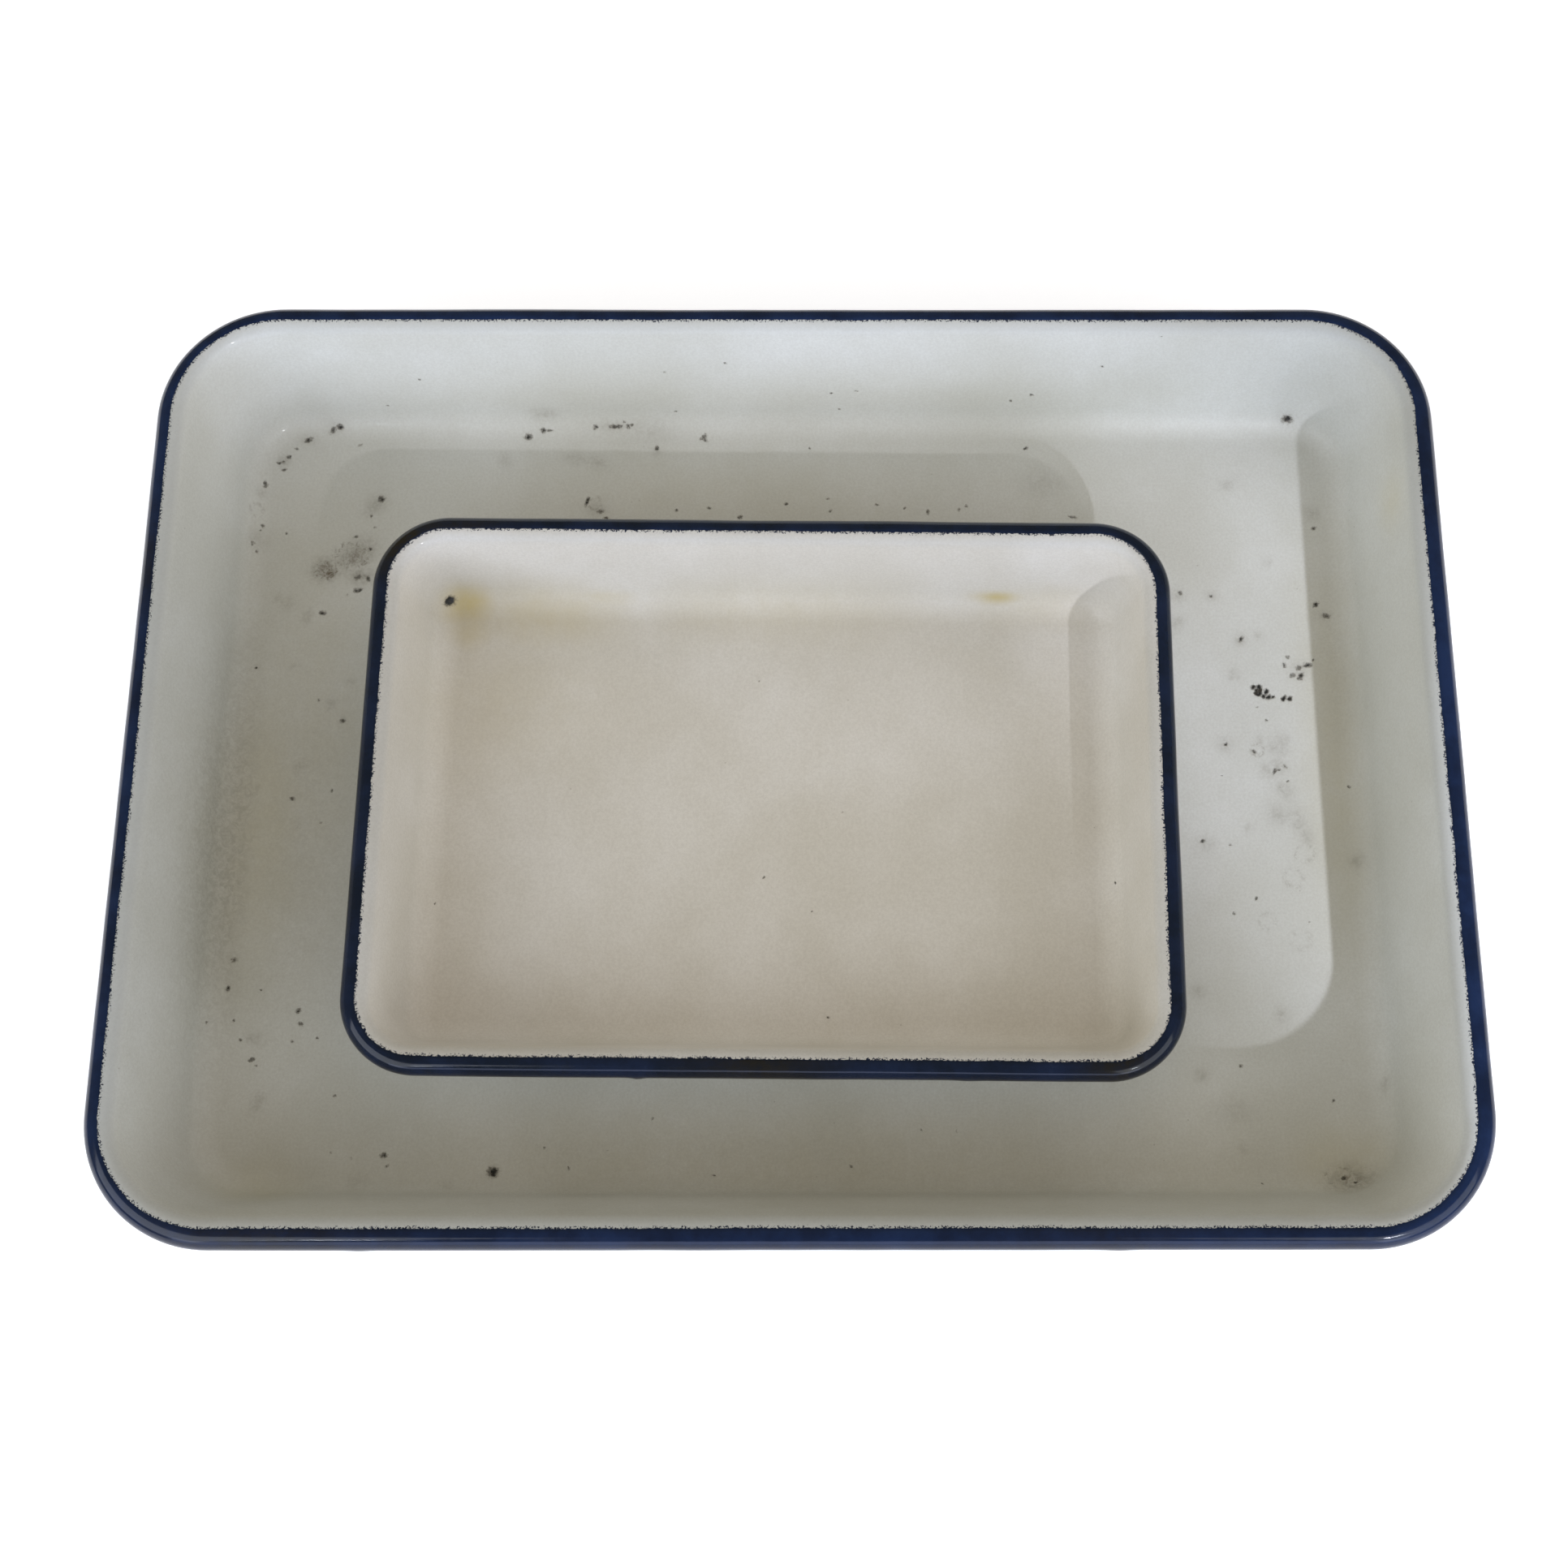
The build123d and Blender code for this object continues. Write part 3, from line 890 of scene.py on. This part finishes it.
def navy_enamel(name, deep, blue):
    """Fired navy glaze: deep blue with darker and browner places, and rubbed tops."""
    shader = Shader(name)
    colour = shader.mix(shader.spread(shader.noise(18 * MM, 5.0, 0.65), 0.32, 0.68), deep, blue)
    worn = shader.spread(shader.noise(9 * MM, 5.0, 0.75), 0.6, 0.8, 0.0, 0.35)
    colour = shader.mix(worn, colour, NAVY_WORN)
    patchy = shader.spread(shader.noise(5 * MM, 4.0, 0.65), 0.3, 0.6, 0.45, 1.0)
    grime = shader.math("MULTIPLY", shader.attribute("stain"), patchy, clamp=True)
    colour = shader.mix(grime, colour, NAVY_GRIME)
    chipped, bare, _ = chip_masks(shader)
    colour = shader.mix(bare, colour, CHIP_RUST)
    rough = shader.spread(shader.noise(12 * MM, 4.0, 0.65), 0.3, 0.75, 0.08, 0.20)
    rough = shader.math("ADD", rough, shader.math("MULTIPLY", bare, 0.4), clamp=True)
    peel = shader.bump(shader.noise(1.8 * MM, 2.0), 0.015 * MM, 0.6)
    waves = shader.bump(shader.noise(8 * MM, 2.0), 0.05 * MM, 0.4, peel)
    normal = shader.bump(shader.math("SUBTRACT", 1.0, chipped), CHIP_STEP, 0.8, waves)
    return shader.finish({"Base Color": colour, "Roughness": rough, "Normal": normal, **NAVY_GLOSS})


def ground_enamel(name):
    """The thin dark ground coat, matt and speckled."""
    shader = Shader(name)
    speckle = shader.spread(shader.noise(0.7 * MM, 3.0, 0.7), 0.5, 0.72)
    colour = shader.mix(speckle, CHIP_DARK, SPECKLE)
    rough = shader.spread(shader.noise(4 * MM), 0.3, 0.7, 0.35, 0.6)
    normal = shader.bump(shader.noise(0.8 * MM), 0.02 * MM)
    return shader.finish({"Base Color": colour, "Roughness": rough, "Normal": normal})


def steel(name, tone, grain):
    """Bare steel with drawing or rolling lines along X or round the wire."""
    shader = Shader(name)
    lines = shader.noise(0.5 * MM, 3.0, 0.6, 0.0, grain)
    dark = tuple(0.6 * part for part in tone[:3]) + (1,)
    colour = shader.mix(shader.spread(lines, 0.3, 0.7), dark, tone)
    rough = shader.spread(lines, 0.3, 0.7, 0.3, 0.5)
    normal = shader.bump(lines, 0.01 * MM)
    return shader.finish({"Base Color": colour, "Metallic": 1.0, "Roughness": rough, "Normal": normal})


def table_paint(name):
    """The pale, plain surface that the trays stand on."""
    shader = Shader(name)
    colour = shader.mix(shader.spread(shader.noise(400 * MM, 2.0), 0.3, 0.7), TABLE_PALE, TABLE_SHADE)
    return shader.finish({
        "Base Color": colour, "Roughness": TABLE_ROUGHNESS,
        "Emission Color": TABLE_TINT, "Emission Strength": TABLE_GLOW,
    })


def backdrop_paint(name):
    """Plain white that shines by itself."""
    return Shader(name).finish({
        "Base Color": (0, 0, 0, 1), "Specular IOR Level": 0,
        "Emission Color": (1, 1, 1, 1), "Emission Strength": 1.0,
    })


# ---------------------------------------------------------------- putting it together

def paint(piece, material):
    piece.data.materials.clear()
    piece.data.materials.append(material)


def repaint_node(name, material):
    """Gives a CAD node's object a better material, and leaves its mesh alone."""
    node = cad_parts[name]
    if not node.material_slots:
        node.data.materials.append(None)
    for slot in node.material_slots:
        slot.link = "OBJECT"
        slot.material = material


def under_small_tray(points):
    """Which points of the large tray's floor lie under the small tray or close beside its foot."""
    middle = SMALL.place.translation
    reach = SMALL.bend_n + FOOT_MARGIN
    in_x = np.abs(points[:, 0] - middle.x) < SMALL.half_x + reach
    in_y = np.abs(points[:, 1] - middle.y) < SMALL.half_y + reach
    return in_x & in_y


def nowhere(points):
    return np.zeros(len(points), bool)


def build_trays():
    cool = white_enamel(
        "cool_white_enamel", COOL_PALE, COOL_DEEP, COOL_STAIN, COOL_TINT, COOL_WORN, COOL_GREYING
    )
    warm = white_enamel(
        "warm_white_enamel", WARM_PALE, WARM_DEEP, WARM_STAIN, WARM_TINT, WARM_WORN, WARM_GREYING
    )
    navy = navy_enamel("navy_enamel", NAVY_DEEP, NAVY_BLUE)
    dark_navy = navy_enamel("dark_navy_enamel", DARK_NAVY_DEEP, DARK_NAVY_BLUE)
    ground = ground_enamel("ground_enamel")
    pan = steel("pan_steel", PAN_STEEL, ALONG_X)
    wire = steel("wire_steel", WIRE_STEEL, ROUND_WIRE)
    trays = (
        # tray, white, its slot, navy, marks inside, what stands on it, seed
        (LARGE, cool, "cool_white_enamel", navy, large_marks(), under_small_tray, 20),
        (SMALL, warm, "warm_white_enamel", dark_navy, small_marks(), nowhere, 60),
    )
    for tray, white, slot, blue, marks, under, seed in trays:
        inside = inner_enamel(tray, placed_marks(tray, marks), under, seed)
        outside = outer_enamel(tray, placed_marks(tray, outside_marks(seed + 1, tray)), seed + 10)
        rim = rim_enamel(tray, rim_marks(tray), DRIPS[tray.name], seed)
        coats = ((inside, white, slot), (outside, white, slot), (rim, blue, "navy_enamel"))
        for piece, material, finish in coats:
            paint(piece, material)
            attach(piece, tray.name + "_tray")
        repaint_node(tray.name + "_steel_pan", pan)
        repaint_node(tray.name + "_rim_wire", wire)
        repaint_node(tray.name + "_ground_coat", ground)


# ---------------------------------------------------------------- the studio

TABLE_RADIUS = 2.0
BACKDROP_RADIUS = 5.0

# Soft lights. One that lights falls on the enamel, and one that shines is mirrored in it.
SOFT_BOXES = (
    # name, azimuth, elevation, distance, size, watts, colour, lights, shines
    ("front_low_window", 0, 12, 2.4, (3.2, 0.9), 20.8, (0.58, 0.67, 1.0), True, True),
    ("front_left_window", -50, 33, 2.4, (2.4, 1.6), 28.2, (0.86, 0.91, 1.0), True, True),
    ("front_right_window", 45, 28, 2.4, (2.2, 1.5), 17.2, (0.93, 0.97, 1.0), True, True),
    ("right_window", 88, 22, 2.4, (2.6, 1.4), 10.6, (1.0, 0.94, 0.99), True, False),
    ("left_wall", -100, 20, 2.4, (2.6, 1.4), 12.8, (1.0, 0.88, 0.70), True, False),
    ("back_wall", 155, 45, 2.4, (2.4, 1.5), 10.1, (1.0, 0.91, 0.84), True, False),
    ("overhead", 27, 84, 2.2, (1.8, 1.8), 4.9, (1.0, 0.75, 0.65), True, False),
    ("left_pane", -18, 33, 3.0, (0.10, 0.10), 1.2, (0.83, 0.90, 1.0), False, True),
    ("right_pane", 32, 33.5, 3.4, (0.24, 0.24), 4.5, (0.88, 0.93, 1.0), False, True),
)

# Narrow lights, for the patch of window light on the right and the glow on the back wall
PATCH_DISTANCE = 3.0
PATCH_LIGHTS = (
    # name, way to it, middle, side, half across, half along, radius of the source, blend, watts, colour
    (
        "right_patch", (0.69, -1.57, 1.15), (185 * MM, 0, 0), "Y",
        98 * MM, 122 * MM, 30 * MM, 0.32, 300, (0.86, 0.88, 1.0),
    ),
    (
        "back_glow", (0.442, -0.707, 0.570), (-40 * MM, 147 * MM, 44 * MM), "X",
        260 * MM, 114 * MM, 40 * MM, 1.0, 155, (0.98, 0.95, 1.0),
    ),
)

WORLD_COLOUR = (1.0, 0.96, 0.70, 1)
WORLD_STRENGTH = 0.195


def stage_piece(name, mesh, material):
    """Adds a piece of the surroundings, at the height on which the trays stand."""
    data = mesh_data(name, mesh)
    data.transform(Matrix.Translation((0, 0, cad_low.z)))
    piece = put_in_scene(name, data)
    paint(piece, material)
    return piece


def table_top():
    mesh = bmesh.new()
    bmesh.ops.create_circle(mesh, cap_ends=True, cap_tris=True, segments=96, radius=TABLE_RADIUS)
    stage_piece("table_top", mesh, table_paint("table_paint"))


def backdrop():
    """A white surround that is only seen: it neither lights the trays nor shades them."""
    mesh = bmesh.new()
    bmesh.ops.create_uvsphere(mesh, u_segments=64, v_segments=32, radius=BACKDROP_RADIUS)
    dome = stage_piece("backdrop", mesh, backdrop_paint("backdrop_paint"))
    for rays in ("diffuse", "glossy", "transmission", "volume_scatter", "shadow"):
        setattr(dome, "visible_" + rays, False)


def towards(azimuth, elevation):
    """Unit direction from the trays: azimuth 0 is the front, 90 the right; both in degrees."""
    turn = math.radians(azimuth)
    rise = math.radians(elevation)
    return Vector((math.sin(turn) * math.cos(rise), -math.cos(turn) * math.cos(rise), math.sin(rise)))


def soft_box(name, azimuth, elevation, distance, size, watts, colour, lights, shines):
    """A rectangular light that faces the middle of the trays."""
    away = towards(azimuth, elevation)
    data = bpy.data.lights.new(name, "AREA")
    data.shape = "RECTANGLE"
    data.size, data.size_y = size
    data.energy = watts
    data.color = colour
    light = put_in_scene(name, data)
    turn = away.to_track_quat("Z", "Y").to_matrix().to_4x4()
    light.matrix_world = Matrix.Translation(distance * away) @ turn
    light.visible_diffuse = lights
    light.visible_glossy = shines


def patch_light(name, away, middle, side, half_across, half_along, source, blend, watts, colour):
    """A narrow light whose patch on the table is an ellipse.

    Seen from the light, one axis of the ellipse lies along side, which is X or Y.
    """
    away = Vector(away).normalized()
    if side == "Y":
        along = (Vector((0, 1, 0)) - away.y * away).normalized()
        across = along.cross(away)
    else:
        across = (Vector((1, 0, 0)) - away.x * away).normalized()
        along = away.cross(across)
    tall = half_along * along.y
    wide = half_across * abs(across.x)
    data = bpy.data.lights.new(name, "SPOT")
    data.shadow_soft_size = source
    data.spot_size = 2 * math.atan(tall / PATCH_DISTANCE)
    data.spot_blend = blend
    data.energy = watts
    data.color = colour
    light = put_in_scene(name, data)
    turn = Matrix((across, along, away)).transposed().to_4x4()
    squeeze = Matrix.Diagonal((wide / tall, 1, 1, 1))
    light.matrix_world = Matrix.Translation(Vector(middle) + PATCH_DISTANCE * away) @ turn @ squeeze


def studio():
    """Soft light, mostly from the front as from windows, on a pale world."""
    world = bpy.data.worlds.new("studio")
    world.use_nodes = True
    background = world.node_tree.nodes["Background"]
    background.inputs["Color"].default_value = WORLD_COLOUR
    background.inputs["Strength"].default_value = WORLD_STRENGTH
    bpy.context.scene.world = world
    for box in SOFT_BOXES:
        soft_box(*box)
    for patch in PATCH_LIGHTS:
        patch_light(*patch)


# The camera looks down over the front edge, from a little right of the middle
LENS = 48.45
SENSOR = 36.0
LOOK_DOWN = math.radians(72.72)
LOOK_RIGHT = math.radians(0.64)
ROLL = math.radians(0.6)
AIM = (16.0 * MM, -11.1 * MM, 39.7 * MM)
AIM_DISTANCE = 628.7 * MM
SHIFT_X = -0.04


def camera():
    forward = Vector((
        math.sin(LOOK_RIGHT) * math.cos(LOOK_DOWN),
        math.cos(LOOK_RIGHT) * math.cos(LOOK_DOWN),
        -math.sin(LOOK_DOWN),
    ))
    right = Vector((math.cos(LOOK_RIGHT), -math.sin(LOOK_RIGHT), 0))
    up = right.cross(forward)
    rolled_right = math.cos(ROLL) * right + math.sin(ROLL) * up
    rolled_up = -math.sin(ROLL) * right + math.cos(ROLL) * up
    data = bpy.data.cameras.new("camera")
    data.lens = LENS
    data.sensor_width = SENSOR
    data.shift_x = SHIFT_X
    placed = put_in_scene("camera", data)
    place = Vector(AIM) - AIM_DISTANCE * forward
    turn = Matrix((rolled_right, rolled_up, -forward)).transposed().to_4x4()
    placed.matrix_world = Matrix.Translation(place) @ turn
    bpy.context.scene.camera = placed


bpy.context.scene.view_settings.view_transform = "Standard"
camera()
build_trays()
table_top()
backdrop()
studio()
